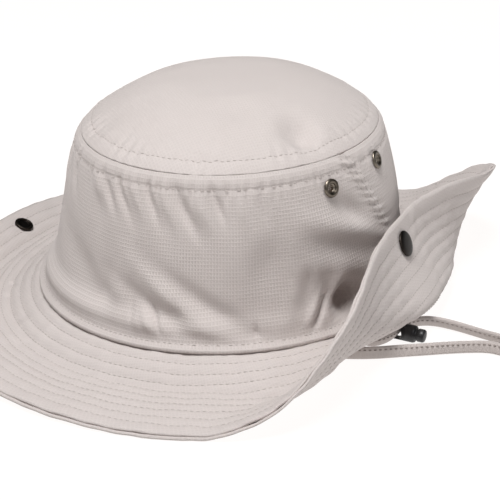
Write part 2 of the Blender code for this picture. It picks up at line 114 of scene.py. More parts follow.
# How finely the surfaces are cut
WALL_COLUMNS = 330
TIP_COLUMNS = 560
BRIM_COLUMNS = 600
ROW_POINTS = 900
NORMAL_STEP = 0.01
RIPPLE_SINES = 7
RIPPLE_PEAK = 4.5

# Wall of the crown: height as a share of CROWN_HEIGHT, inset as a share of the way from the base
# oval to the tip oval
WALL_SECTION = (
    # height, inset
    (0.00, 0.00),
    (0.05, 0.17),
    (0.14, 0.32),
    (0.30, 0.44),
    (0.48, 0.55),
    (0.66, 0.65),
    (0.80, 0.75),
    (0.90, 0.84),
    (0.96, 0.905),
    (1.00, 1.00),
)

# Tip panel: distance from the middle as a share of the tip oval, rise as a share of DOME_HEIGHT
TIP_SECTION = (
    # distance, rise
    (1.00, 0.00),
    (0.955, 0.14),
    (0.80, 0.47),
    (0.60, 0.78),
    (0.35, 0.96),
    (0.00, 1.00),
)

# Brim: at each angle of the crown, where the rim stands from the brim seam, as shares of
# BRIM_WIDTH, and the slope of the cloth in degrees at the seam and at the rim
BRIM_SECTIONS = (
    # angle, out, along, rise, seam slope, rim slope
    (-180, 0.765, 0.00, 0.005, -28, 18),
    (-145, 0.895, 0.00, -0.060, -26, 8),
    (-110, 0.955, 0.00, -0.078, -23, 2),
    (-90, 0.960, 0.00, -0.108, -22, 1),
    (-77, 0.965, 0.00, -0.130, -22, 0),
    (-66, 0.960, -0.01, -0.138, -21, 1),
    (-57, 0.960, -0.08, -0.048, -15, 11),
    (-49, 0.930, -0.17, 0.088, -10, 23),
    (-41, 0.850, -0.25, 0.310, -6, 44),
    (-32, 0.690, -0.31, 0.540, -4, 68),
    (-23, 0.430, -0.31, 0.690, 2, 88),
    (-14, 0.170, -0.24, 0.715, 6, 99),
    (-5, -0.010, -0.080, 0.685, 8, 103),
    (3, -0.045, 0.03, 0.685, 2, 103),
    (12, -0.020, 0.07, 0.690, -2, 101),
    (20, 0.095, 0.07, 0.695, -8, 94),
    (29, 0.330, 0.08, 0.695, -12, 80),
    (40, 0.680, 0.06, 0.615, -12, 60),
    (48, 0.910, 0.05, 0.555, -12, 50),
    (57, 0.975, -0.03, 0.435, -12, 38),
    (67, 0.965, -0.09, 0.205, -14, 24),
    (76, 0.955, -0.13, -0.030, -16, 8),
    (87, 0.955, -0.11, -0.150, -22, 0),
    (109, 0.955, -0.07, -0.162, -24, -2),
    (145, 0.875, -0.02, -0.100, -26, 7),
)

# Dents and folds of the crown: place as an angle and a height share (over 1 is on the tip, as
# 2 minus the distance share), reach in degrees and in height share, depth in cloth thicknesses
FOLDS = (
    # angle, height, reach around, reach up, depth
    (-28, 0.22, 3, 0.16, -1.3),
    (-19, 0.13, 6, 0.09, -6.0),
    (0, 0.255, 13, 0.125, 2.8),
    (4, 0.500, 38, 0.400, 1.5),
    (20, 0.36, 7, 0.06, -1.2),
    (-76, 0.14, 3, 0.12, -0.9),
    (-92, 0.20, 3, 0.14, -0.8),
    (-101, 0.24, 3, 0.14, -0.9),
    (-108, 0.74, 3, 0.16, -0.7),
    (-93, 0.76, 3, 0.16, -0.6),
    (-80, 0.74, 3, 0.14, -0.6),
    (-66, 0.76, 3, 0.14, -0.5),
    (-160, 0.50, 6, 0.20, -1.0),
    (100, 0.25, 5, 0.14, -1.0),
    (62, 0.30, 5, 0.16, -1.1),
    (-28, 1.22, 9, 0.10, -2.0),
    (-52, 1.42, 16, 0.14, -1.2),
)

# Route of the chin strap on the ground, from its sewn end at +X round to the one at -X
STRAP_ROUTE = (
    # x, y, height of the middle
    (0.0810, 0.0000, 0.0100),
    (0.0775, -0.0130, 0.0055),
    (0.0815, -0.0300, 0.0040),
    (0.0915, -0.0335, 0.0040),
    (0.0967, -0.0255, 0.0041),
    (0.0975, -0.0175, 0.0041),
    (0.0983, -0.0095, 0.0041),
    (0.1055, 0.0000, 0.0036),
    (0.1180, 0.0020, 0.0032),
    (0.1400, -0.0010, 0.0032),
    (0.1700, -0.0020, 0.0032),
    (0.2050, 0.0030, 0.0032),
    (0.2290, -0.0090, 0.0032),
    (0.2320, -0.0290, 0.0032),
    (0.2150, -0.0400, 0.0032),
    (0.1850, -0.0330, 0.0032),
    (0.1600, -0.0180, 0.0032),
    (0.1440, -0.0110, 0.0032),
    (0.1300, -0.0170, 0.0032),
    (0.1090, -0.0320, 0.0032),
    (0.0900, -0.0450, 0.0032),
    (0.0600, -0.0560, 0.0032),
    (0.0150, -0.0560, 0.0032),
    (-0.0300, -0.0380, 0.0032),
    (-0.0650, -0.0120, 0.0036),
    (-0.0810, 0.0000, 0.0100),
)

# Rows of stitches: depth and width of their dips, the thread, and how far from the seams they run
ROW_DIP = 0.00034
ROW_WIDTH = 0.0011
FINE_ROW_WIDTH = 0.0008
BRIM_ROW_WIDTH = 0.0010
STITCH_STEP = 0.0027
STITCH_LENGTH = 0.0020
STITCH_THICK = 0.00019
TIP_ROW_ABOVE = 0.0055
TIP_ROW_BELOW = 0.0065
HEM_ROW = 0.0022
BRIM_ROW_SHARES = (0.095, 0.195, 0.290, 0.385, 0.480, 0.578, 0.672, 0.775, 0.880)
WALL_SEAM_DIP = 0.00028
TIP_SEAM_DIP = 0.00030

# Bands over the side seams
SEAM_BAND = 0.0095
BAND_ROWS = (-SEAM_BAND / 2 + 0.0012, SEAM_BAND / 2 - 0.0012)
BAND_RISE = 0.00045
BAND_EDGE = 0.0007
BAND_EDGE_DIP = 0.00030
BAND_EDGE_WIDTH = 0.0006
BAND_PUCKER = 0.00065
BAND_PUCKER_REACH = 0.0065
BAND_SEED = 13

# Swell of the wall over the brim's seam, in metres. It is smaller within some degrees of one angle,
# and stands at a height share, with its reach.
FLARE_SWELL = 0.0027
FLARE_CALM_AT = -20
FLARE_CALM_REACH = 45
FLARE_CALM_EDGE = 8
FLARE_HEIGHT = 0.115
FLARE_REACH = 0.055

# Brim's cloth: puff between two rows, dip at both edges, mean radius for the length around, where
# the relief fades, rows that the upper ply tucks under the crown (inward, up), and the ground
BRIM_PUFF = 0.00022
BRIM_EDGE_DIP = 0.00045
BRIM_RUN_RADIUS = 0.125
RELIEF_FADE = 0.02
RELIEF_LEAST = 0.15
SEAM_TUCK = ((0.0026, 0.0006), (0.0012, 0.0003))
FLOOR_GAP = 0.0004
FLOOR_SOFT = 0.0002

# Irregular waves of the cloth: seed, height, and the size of a wave both ways. Gathers fade with
# their distance from a row.
WALL_WAVES = ((3, 0.00022, 0.016, 0.019), (4, 0.00009, 0.006, 0.010))
WALL_GATHER = ((11, 0.00058, 0.0014, 0.030),)
HEM_GATHER = ((12, 0.00018, 0.0016, 0.020),)
TIP_WAVES = ((21, 0.00030, 0.020, 0.024), (22, 0.00012, 0.008, 0.007))
TIP_GATHER = ((23, 0.00042, 0.0015, 0.030),)
BRIM_WAVES = ((0, 0.00030, 0.0022, 0.0048), (1, 0.00030, 0.0080, 0.0140))
GATHER_REACH = 0.0050
TIP_GATHER_REACH = 0.0048

# Colours, and the threads of the weave in one cell of its grid
CLOTH_COLOUR = (0.578, 0.528, 0.510)
CLOTH_SHADE = (0.505, 0.448, 0.425)
STRAP_COLOUR = (0.50, 0.45, 0.43)
THREADS_PER_CELL = 4

# Camera: turn and tilt in degrees, distance, and the height that it aims at. The picture's side,
# the focal length and the middle are in pixels.
CAMERA_TURN = 28.0
CAMERA_TILT = 24.0
CAMERA_FAR = 0.760
CAMERA_AIM_HEIGHT = 0.0118
SENSOR_WIDTH = 36.0
PICTURE = 500
FOCAL = 1520.0
MIDDLE = (229.5, 262.0)

# Soft folds that the photograph shows on the wall: place of the middle, direction of the fold in
# degrees from level, half its length, half its width and its depth in metres
SOFT_FOLDS = (
    # angle, height, direction, half length, half width, depth
    (-18, 0.570, -23, 0.0250, 0.0056, 0.0023),
    (-19, 0.465, -20, 0.0230, 0.0054, -0.0018),
    (-40, 0.600, -14, 0.0160, 0.0090, 0.0010),
    (-16, 0.680, -36, 0.0110, 0.0044, -0.0026),
    (-30, 0.400, -12, 0.0140, 0.0050, 0.0008),
    (-18.5, 0.105, 62, 0.0105, 0.0080, -0.0074),
    (-27, 0.180, 62, 0.0110, 0.0030, 0.0012),
    (-31.5, 0.125, 52, 0.0075, 0.0010, -0.0022),
    (-34, 0.160, 55, 0.0080, 0.0018, 0.0013),
    (-35, 0.300, 84, 0.0080, 0.0028, -0.0010),
    (-41, 0.210, 80, 0.0120, 0.0040, 0.0008),
    (-52, 0.080, 98, 0.0040, 0.0012, -0.0012),
    (-46, 0.530, 72, 0.0150, 0.0070, -0.0013),
    (-57, 0.540, 88, 0.0200, 0.0080, 0.0012),
    (-66, 0.240, 146, 0.0270, 0.0042, -0.0019),
    (-76, 0.250, 146, 0.0220, 0.0038, 0.0018),
    (-83, 0.200, 152, 0.0190, 0.0036, -0.0017),
    (-96, 0.220, 150, 0.0160, 0.0050, 0.0010),
    (-82, 0.150, 118, 0.0055, 0.0009, -0.0022),
    (-85, 0.150, 124, 0.0055, 0.0016, 0.0013),
    (-90, 0.150, 100, 0.0050, 0.0013, -0.0011),
    (-112, 0.300, 152, 0.0260, 0.0090, -0.0020),
    (-110, 0.840, 134, 0.0085, 0.0036, 0.0013),
    (-104, 0.810, 127, 0.0080, 0.0020, -0.0014),
    (-98, 0.820, 125, 0.0100, 0.0018, -0.0014),
    (-92, 0.830, 120, 0.0080, 0.0026, 0.0010),
    (-86, 0.820, 117, 0.0085, 0.0019, -0.0015),
    (-80, 0.800, 118, 0.0090, 0.0030, 0.0012),
    (-74, 0.790, 121, 0.0110, 0.0026, -0.0020),
    (-68, 0.790, 115, 0.0090, 0.0034, 0.0016),
    (-63, 0.830, 113, 0.0075, 0.0018, -0.0014),
    (-56, 0.800, 105, 0.0080, 0.0026, 0.0008),
    (-48, 0.800, 100, 0.0070, 0.0020, -0.0008),
    (-128, 0.800, 120, 0.0080, 0.0024, -0.0010),
    (-140, 0.780, 112, 0.0090, 0.0028, 0.0009),
    (-155, 0.200, 60, 0.0100, 0.0024, -0.0012),
    (-168, 0.780, 80, 0.0085, 0.0020, -0.0010),
    (165, 0.160, 110, 0.0090, 0.0018, -0.0013),
    (150, 0.800, 96, 0.0080, 0.0022, -0.0010),
    (132, 0.180, 75, 0.0100, 0.0020, -0.0013),
    (118, 0.790, 84, 0.0090, 0.0020, -0.0011),
    (96, 0.800, 100, 0.0080, 0.0018, -0.0010),
    (84, 0.160, 118, 0.0090, 0.0018, -0.0014),
    (72, 0.780, 92, 0.0090, 0.0022, -0.0010),
    (48, 0.200, 70, 0.0110, 0.0024, -0.0013),
)

# Dimples of the tip panel: angle, distance share, reach in metres, depth in metres
TIP_DIMPLES = (
    # angle, distance, reach, depth
    (-26, 0.80, 0.0090, -0.0038),
    (-17, 0.87, 0.0050, 0.0014),
    (-34, 0.70, 0.0080, 0.0008),
    (-130, 0.86, 0.0080, -0.0009),
    (-118, 0.90, 0.0050, 0.0005),
    (-100, 0.93, 0.0050, -0.0006),
    (-70, 0.94, 0.0045, -0.0004),
)


def hermite(t, start, rise, end, fall):
    """Cubic from one value to the next; its slopes at the ends are times the step between them."""
    return (
        (2 * t**3 - 3 * t**2 + 1) * start
        + (t**3 - 2 * t**2 + t) * rise
        + (3 * t**2 - 2 * t**3) * end
        + (t**3 - t**2) * fall
    )


def smooth_table(rows, at):
    """Smooth curve through a table's two columns, with no overshoot."""
    xs, ys = np.array(rows, float).T
    if xs[0] > xs[-1]:
        xs, ys = xs[::-1], ys[::-1]
    slopes = np.diff(ys) / np.diff(xs)
    tangents = np.concatenate([[slopes[0]], np.zeros(len(slopes) - 1), [slopes[-1]]])
    for k in range(1, len(slopes)):
        if slopes[k - 1] * slopes[k] > 0:
            tangents[k] = 2 * slopes[k - 1] * slopes[k] / (slopes[k - 1] + slopes[k])
    at = np.clip(np.asarray(at, float), xs[0], xs[-1])
    left = np.clip(np.searchsorted(xs, at, side="right") - 1, 0, len(xs) - 2)
    width = xs[left + 1] - xs[left]
    t = (at - xs[left]) / width
    return hermite(t, ys[left], tangents[left] * width, ys[left + 1], tangents[left + 1] * width)


def periodic(angles, values, at):
    """Smooth curve through values at angles in degrees, closed after a full turn."""
    at = (np.asarray(at, float) - angles[0]) % 360 + angles[0]
    left = np.clip(np.searchsorted(angles, at, side="right") - 1, 0, len(angles) - 1)
    wrapped = np.concatenate([[angles[-1] - 360], angles, [angles[0] + 360, angles[1] + 360]])
    padded = np.concatenate([[values[-1]], values, [values[0], values[1]]])
    slopes = (padded[2:] - padded[:-2]) / (wrapped[2:] - wrapped[:-2])
    width = wrapped[left + 2] - wrapped[left + 1]
    t = (at - wrapped[left + 1]) / width
    return hermite(t, padded[left + 1], slopes[left] * width,
                   padded[left + 2], slopes[left + 1] * width)


def ripple(seed, *coords):
    """Smooth irregular waves, mostly between -1 and 1."""
    rng = np.random.default_rng(seed)
    total = 0.0
    for _ in range(RIPPLE_SINES):
        phase = rng.uniform(0, 2 * math.pi)
        scale = rng.uniform(0.6, 1.7, len(coords)) * rng.choice([-1, 1], len(coords))
        total = total + np.sin(phase + sum(c * s for c, s in zip(coords, scale)))
    return total / RIPPLE_PEAK


def waves(table, one, two, first=0):
    """Sum of a table's ripples over two lengths; the seeds count from the first one given."""
    return sum(height * ripple(first + seed, one / long, two / wide)
               for seed, height, long, wide in table)


def bell(distance, width=ROW_WIDTH):
    return np.exp(-((distance / width) ** 2))


def turn_from(angle, place):
    return (angle - place + 180) % 360 - 180


def unit(vectors):
    return vectors / np.linalg.norm(vectors, axis=-1)[..., None]


def run_along(points):
    """Length of a line of points up to each of them."""
    return np.concatenate([[0], np.cumsum(np.linalg.norm(np.diff(points, axis=0), axis=1))])


def spots_at(places, run, points):
    return np.stack([np.interp(places, run, points[:, k]) for k in range(3)], -1)


def oval_out(angle, half_width, half_length):
    return unit(np.stack([np.cos(angle) / half_width, np.sin(angle) / half_length], -1))


def side_seam(side, height):
    """Angle of a side seam at a height share. The right one leans to the front above the snap."""
    lean = math.radians(SEAM_LEAN) * np.maximum(0.0, height - LEAN_FROM) / (1 - LEAN_FROM)
    return -lean if side == "right" else np.full_like(lean, math.pi)


def coarse_folds(angle, height):
    total = 0.0
    for place, share, around, up, depth in FOLDS:
        turn = turn_from(angle, place)
        total = total + depth * np.exp(-((turn / around) ** 2) - ((height - share) / up) ** 2)
    return total * CROWN_CLOTH


def hem_lift():
    foot = WALL_SECTION[1]
    flare = math.atan2(foot[1] * (BASE_HALF_WIDTH - TIP_HALF_WIDTH), foot[0] * CROWN_HEIGHT)
    return CROWN_CLOTH * math.sin(flare)


def soft_folds(degrees, height):
    total = 0.0
    for place, share, direction, half_long, half_wide, depth in SOFT_FOLDS:
        run = np.radians(turn_from(degrees, place)) * (TIP_HALF_WIDTH + BASE_HALF_LENGTH) / 2
        rise = (height - share) * CROWN_HEIGHT
        lean = math.radians(direction)
        along = run * math.cos(lean) + rise * math.sin(lean)
        across = rise * math.cos(lean) - run * math.sin(lean)
        total = total + depth * np.exp(-((along / half_long) ** 2) - (across / half_wide) ** 2)
    return total


def wall_detail(angle, height, edge):
    """What the finished wall adds to the plain one: soft folds, the swell over the brim's seam,
    waves, gathered rows of stitches and the bands of the side seams."""
    degrees = np.degrees(angle)
    around = angle * BASE_HALF_LENGTH
    up = height * CROWN_HEIGHT
    below_tip = (1 - height) * CROWN_HEIGHT
    away = np.abs(turn_from(degrees, FLARE_CALM_AT))
    swell = FLARE_SWELL * (0.3 + 0.35 * (1 + np.tanh((away - FLARE_CALM_REACH) / FLARE_CALM_EDGE)))
    push = soft_folds(degrees, height) * np.clip(14 * height, 0, 1)
    push = push + swell * bell(height - FLARE_HEIGHT, FLARE_REACH)
    push = push + waves(WALL_WAVES, around, up) * edge
    push = push - ROW_DIP * bell(below_tip - TIP_ROW_BELOW) - WALL_SEAM_DIP * bell(below_tip)
    push = push + bell(below_tip - TIP_ROW_BELOW, GATHER_REACH) * waves(WALL_GATHER, around, up)
    push = push - ROW_DIP * bell(up - HEM_ROW, FINE_ROW_WIDTH)
    push = push + bell(up - HEM_ROW, GATHER_REACH) * waves(HEM_GATHER, around, up)
    for side in ("right", "left"):
        off = turn_from(degrees, np.degrees(side_seam(side, height)))
        off = np.radians(off) * BASE_HALF_LENGTH
        push = push + BAND_RISE / 2 * (1 - np.tanh((np.abs(off) - SEAM_BAND / 2) / BAND_EDGE))
        push = push - BAND_EDGE_DIP * bell(off - SEAM_BAND / 2, BAND_EDGE_WIDTH)
        for row in BAND_ROWS:
            push = push - ROW_DIP * bell(off - row, FINE_ROW_WIDTH)
        puckers = ripple(BAND_SEED, up / 0.0011 + off / 0.0035, off / 0.009)
        push = push + BAND_PUCKER * bell(off, BAND_PUCKER_REACH) * puckers
    return push


def wall_surface(angle, height, detail=True):
    """Outer face of the crown's wall for arrays of angles in radians and height shares."""
    inset = smooth_table(WALL_SECTION, height)
    half_width = BASE_HALF_WIDTH + (TIP_HALF_WIDTH - BASE_HALF_WIDTH) * inset
    half_length = BASE_HALF_LENGTH + (TIP_HALF_LENGTH - BASE_HALF_LENGTH) * inset
    edge = np.clip(8 * height, 0, 1) * np.minimum(1.0, 8 * (1 - height))
    push = coarse_folds(np.degrees(angle), height) * edge
    if detail:
        push = push + wall_detail(angle, height, edge)
    out = oval_out(angle, half_width, half_length)
    level = SEAM_HEIGHT + hem_lift() * (1 - height) + CROWN_HEIGHT * height
    x = half_width * np.cos(angle) + out[..., 0] * push + CENTRE_X + inset * TIP_SHIFT_SIDE
    y = half_length * np.sin(angle) + out[..., 1] * push + CENTRE_Y - inset * TIP_SHIFT_FRONT
    return np.stack([x, y, level + 0 * x], -1)


def tip_surface(angle, share, detail=True):
    """Outer face of the tip panel: share 1 at its seam, 0 in the middle."""
    rise = smooth_table(TIP_SECTION, share)
    x = TIP_HALF_WIDTH * share * np.cos(angle)
    y = TIP_HALF_LENGTH * share * np.sin(angle)
    push = coarse_folds(np.degrees(angle), 2 - share) * np.minimum(1.0, 8 * (1 - share))
    if detail:
        inside = (1 - share) * (TIP_HALF_WIDTH + TIP_HALF_LENGTH) / 2
        push = push + waves(TIP_WAVES, x, y) - ROW_DIP * bell(inside - TIP_ROW_ABOVE)
        gather = bell(inside - TIP_ROW_ABOVE, TIP_GATHER_REACH)
        push = push + gather * waves(TIP_GATHER, angle * TIP_HALF_LENGTH, inside)
        push = push - TIP_SEAM_DIP * bell(inside)
        for place, far, reach, depth in TIP_DIMPLES:
            turn = math.radians(place)
            dx = x - TIP_HALF_WIDTH * far * math.cos(turn)
            dy = y - TIP_HALF_LENGTH * far * math.sin(turn)
            push = push + depth * np.exp(-(dx**2 + dy**2) / reach**2)
    level = SEAM_HEIGHT + CROWN_HEIGHT + DOME_HEIGHT * rise + push
    return np.stack([x + CENTRE_X + TIP_SHIFT_SIDE, y + CENTRE_Y - TIP_SHIFT_FRONT, level], -1)


def bend(out, along, rise, seam_slope, rim_slope, outward, tangent, length, rows):
    """Points of one brim section: a cubic curve whose handles are long enough that the cloth
    keeps its width."""
    end = np.array([*(outward * out + tangent * along), rise])
    aim = unit(outward + tangent * (along / max(abs(out), 0.4 * length)))
    first = np.array([*(outward * math.cos(seam_slope)), math.sin(seam_slope)])
    last = np.array([*(aim * math.cos(rim_slope)), math.sin(rim_slope)])
    steps = np.linspace(0, 1, 65)[:, None]
    low, high = 0.1 * length, 1.4 * length
    for _ in range(24):
        handle = (low + high) / 2
        points = (
            3 * (1 - steps) ** 2 * steps * (first * handle)
            + 3 * (1 - steps) * steps**2 * (end - last * handle)
            + steps**3 * end
        )
        run = run_along(points)
        if run[-1] < length:
            low = handle
        else:
            high = handle
    return spots_at(rows * run[-1], run, points)


def smooth_rows(grid, passes):
    """Evens a closed grid along both ways, with its first and last rows kept."""
    for _ in range(passes):
        grid = (np.roll(grid, 1, 0) + 2 * grid + np.roll(grid, -1, 0)) / 4
        grid[:, 1:-1] = (grid[:, :-2] + 2 * grid[:, 1:-1] + grid[:, 2:]) / 4
    return grid


def brim_surface(around, shares):
    """Middle surface of the brim: a row of points from the seam to the rim at each angle."""
    sections = np.array(BRIM_SECTIONS, float)
    half_width = BASE_HALF_WIDTH - CROWN_CLOTH
    half_length = BASE_HALF_LENGTH - CROWN_CLOTH
    level = SEAM_HEIGHT - GAP - BRIM_PLY - GAP / 2
    ground = BRIM_PLY + GAP / 2
    grid = []
    for step in range(around):
        degrees = 360 * step / around
        values = [float(periodic(sections[:, 0], sections[:, k], degrees)) for k in range(1, 6)]
        out, along, rise = (v * BRIM_WIDTH for v in values[:3])
        angle = math.radians(degrees)
        outward = oval_out(angle, half_width, half_length)
        tangent = np.array([-outward[1], outward[0]])
        points = bend(out, along, rise, math.radians(values[3]), math.radians(values[4]), outward,
                      tangent, BRIM_WIDTH + CROWN_CLOTH, shares)
        grid.append(points + [half_width * math.cos(angle) + CENTRE_X,
                              half_length * math.sin(angle) + CENTRE_Y, level])
    grid = smooth_rows(np.array(grid), 3)
    over = (grid[:, :, 2] - ground) / FLOOR_SOFT
    grid[:, :, 2] = ground + np.logaddexp(0, over) * FLOOR_SOFT
    return grid


def normals_of(grid):
    """Unit normals of a grid that closes around."""
    around = np.roll(grid, -1, 0) - np.roll(grid, 1, 0)
    out = np.cross(np.gradient(grid, axis=1), around)
    return out / np.maximum(np.linalg.norm(out, axis=2), 1e-12)[:, :, None]


def brim_relief(run_around, shares, seed):
    """Height of the stitched cloth over its smooth surface: a dip at each row of stitches, fine
    puckers between them."""
    run = shares[None, :] * BRIM_WIDTH
    push = 0 * run_around + 0 * run
    for share in BRIM_ROW_SHARES:
        push = push - ROW_DIP * bell(run - share * BRIM_WIDTH, BRIM_ROW_WIDTH)
    rows = np.array((0.0, *BRIM_ROW_SHARES, 1.0))
    phase = np.interp(shares, rows, np.arange(len(rows)))
    push = push + BRIM_PUFF * np.sin(math.pi * phase)[None, :] ** 2
    push = push + waves(BRIM_WAVES, run_around, run, seed)
    return push - BRIM_EDGE_DIP * (bell(run, 0.0016) + bell(run - BRIM_WIDTH, 0.0009))


def linked(name, data):
    """An object with this data, put into the scene."""
    obj = bpy.data.objects.new(name, data)
    bpy.context.scene.collection.objects.link(obj)
    return obj


def from_bmesh(name, mesh):
    data = bpy.data.meshes.new(name)
    mesh.to_mesh(data)
    mesh.free()
    return linked(name, data)


def cloth_mesh(name, grid, coords, closed, thickness, middle=None):
    """Cloth through a grid of points, with its width and length in metres as UV. A closed grid's
    third value in coords is its whole length around; middle closes its last row."""
    count, rows = grid.shape[:2]
    verts = grid.reshape(-1, 3)
    i = np.arange(count if closed else count - 1)[:, None]
    j = np.arange(rows - 1)[None, :]
    after = (i + 1) % count
    corners = ((i, j), (i, j + 1), (after, j + 1), (after, j))
    faces = np.stack([a * rows + b for a, b in corners], -1).reshape(-1, 4).tolist()
    uv = np.stack([np.stack([coord[a, b] for a, b in corners], -1) for coord in coords[:2]], -1)
    if closed:
        uv[-1, :, 2:, 0] += coords[2]
    uv = uv.reshape(-1, 2)
    if middle is not None:
        hub = len(verts)
        verts = np.concatenate([verts, [middle]])
        ring = [k * rows + rows - 1 for k in range(count)]
        caps = [[ring[k], hub, ring[(k + 1) % count]] for k in range(count)]
        faces += caps
        uv = np.concatenate([uv, verts[np.ravel(caps), :2]])
    data = bpy.data.meshes.new(name)
    data.from_pydata(verts.tolist(), [], faces)
    layer = data.uv_layers.new(name="Cloth")
    layer.data.foreach_set("uv", uv.astype(np.float32).ravel())
    data.shade_smooth()
    obj = linked(name, data)
    shell = obj.modifiers.new("Cloth", "SOLIDIFY")
    shell.thickness = thickness
    shell.offset = -1
    shell.use_rim = True
    return obj


def tiny_stitches(name, runs, material, thick=STITCH_THICK, step=STITCH_STEP, long=STITCH_LENGTH):
    """Rows of stitches as small grains of thread. Each run is points and normals along a row."""
    verts, faces = [], []
    for points, normals in runs:
        run = run_along(points)
        count = max(1, int(run[-1] / step))
        middles = (np.arange(count) + 0.5) * run[-1] / count
        starts, centres, ends = (spots_at(middles + shift, run, points)
                                 for shift in (-long / 2, 0, long / 2))
        out = unit(spots_at(middles, run, normals))
        along = unit(ends - starts)
        side = np.cross(out, along)
        grain = [starts - out * thick * 0.3, ends - out * thick * 0.3]
        for shift in (-0.25, 0.25):
            centre = centres + along * long * shift + out * thick * 0.35
            grain += [centre + corner * thick for corner in (side, out * 0.8, -side, -out)]
        first = len(verts)
        verts += np.stack(grain, 1).reshape(-1, 3).tolist()
        for base in range(first, len(verts), len(grain)):
            for q in range(4):
                r = (q + 1) % 4
                faces.append([base, base + 2 + r, base + 2 + q])
                faces.append([base + 2 + q, base + 2 + r, base + 6 + r, base + 6 + q])
                faces.append([base + 6 + q, base + 6 + r, base + 1])
    data = bpy.data.meshes.new(name)
    data.from_pydata(verts, [], faces)
    data.shade_smooth()
    data.materials.append(material)
    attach(linked(name, data), "root")


def turned(name, profile, steps=48):
    """Solid of revolution about Z from (radius, height) pairs."""
    mesh = bmesh.new()
    rings = []
    for radius, height in profile:
        if radius <= 0:
            rings.append([mesh.verts.new((0, 0, height))])
            continue
        turns = [2 * math.pi * k / steps for k in range(steps)]
        rings.append([mesh.verts.new((radius * math.cos(turn), radius * math.sin(turn), height))
                      for turn in turns])
    pairs = list(zip(rings, rings[1:]))
    if profile[0][0] > 0:
        pairs.append((rings[-1], rings[0]))
    for one, other in pairs:
        for k in range(steps):
            n = (k + 1) % steps
            corners = [one[k % len(one)], one[n % len(one)], other[n % len(other)],
                       other[k % len(other)]]
            unique = list(dict.fromkeys(corners))
            if len(unique) > 2:
                mesh.faces.new(unique)
    bmesh.ops.recalc_face_normals(mesh, faces=mesh.faces)
    obj = from_bmesh(name, mesh)
    obj.data.shade_smooth()
    return obj


def stand_at(obj, spot, axis):
    """Puts an object's origin on a spot and turns its Z to an axis."""
    turn = Vector([float(v) for v in axis]).to_track_quat("Z", "Y").to_matrix().to_4x4()
    obj.matrix_world = Matrix.Translation(Vector([float(v) for v in spot])) @ turn


def stand_for(piece, name, material):
    """Puts a finished piece in the place of a CAD node."""
    piece.data.materials.append(material)
    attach(piece, "root")
    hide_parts(name)


def new_material(name):
    """A material, its tree, its shader and a node of its coordinates."""
    made = bpy.data.materials.new(name)
    made.use_nodes = True
    tree = made.node_tree
    return made, tree, tree.nodes["Principled BSDF"], tree.nodes.new("ShaderNodeTexCoord")


def maths(tree, operation, *values):
    made = tree.nodes.new("ShaderNodeMath")
    made.operation = operation
    for socket, value in zip(made.inputs, values):
        if isinstance(value, (int, float)):
            socket.default_value = value
        else:
            tree.links.new(value, socket)
    return made.outputs[0]


def noise(tree, vector, scale, detail=3.0, roughness=0.55):
    made = tree.nodes.new("ShaderNodeTexNoise")
    made.inputs["Scale"].default_value = scale
    made.inputs["Detail"].default_value = detail
    made.inputs["Roughness"].default_value = roughness
    tree.links.new(vector, made.inputs["Vector"])
    return made.outputs["Fac"]


def mix(tree, factor, one, two):
    made = tree.nodes.new("ShaderNodeMix")
    made.data_type = "RGBA"
    for name, value in (("Factor", factor), ("A", one), ("B", two)):
        sockets = [s for s in made.inputs if s.name == name and s.enabled]
        if isinstance(value, (int, float)):
            sockets[0].default_value = value
        elif isinstance(value, tuple):
            sockets[0].default_value = (*value, 1.0)
        else:
            tree.links.new(value, sockets[0])
    return [s for s in made.outputs if s.name == "Result" and s.enabled][0]


def add_bump(tree, shader, height, strength, distance):
    bump = tree.nodes.new("ShaderNodeBump")
    bump.inputs["Strength"].default_value = strength
    bump.inputs["Distance"].default_value = distance
    tree.links.new(height, bump.inputs["Height"])
    tree.links.new(bump.outputs["Normal"], shader.inputs["Normal"])


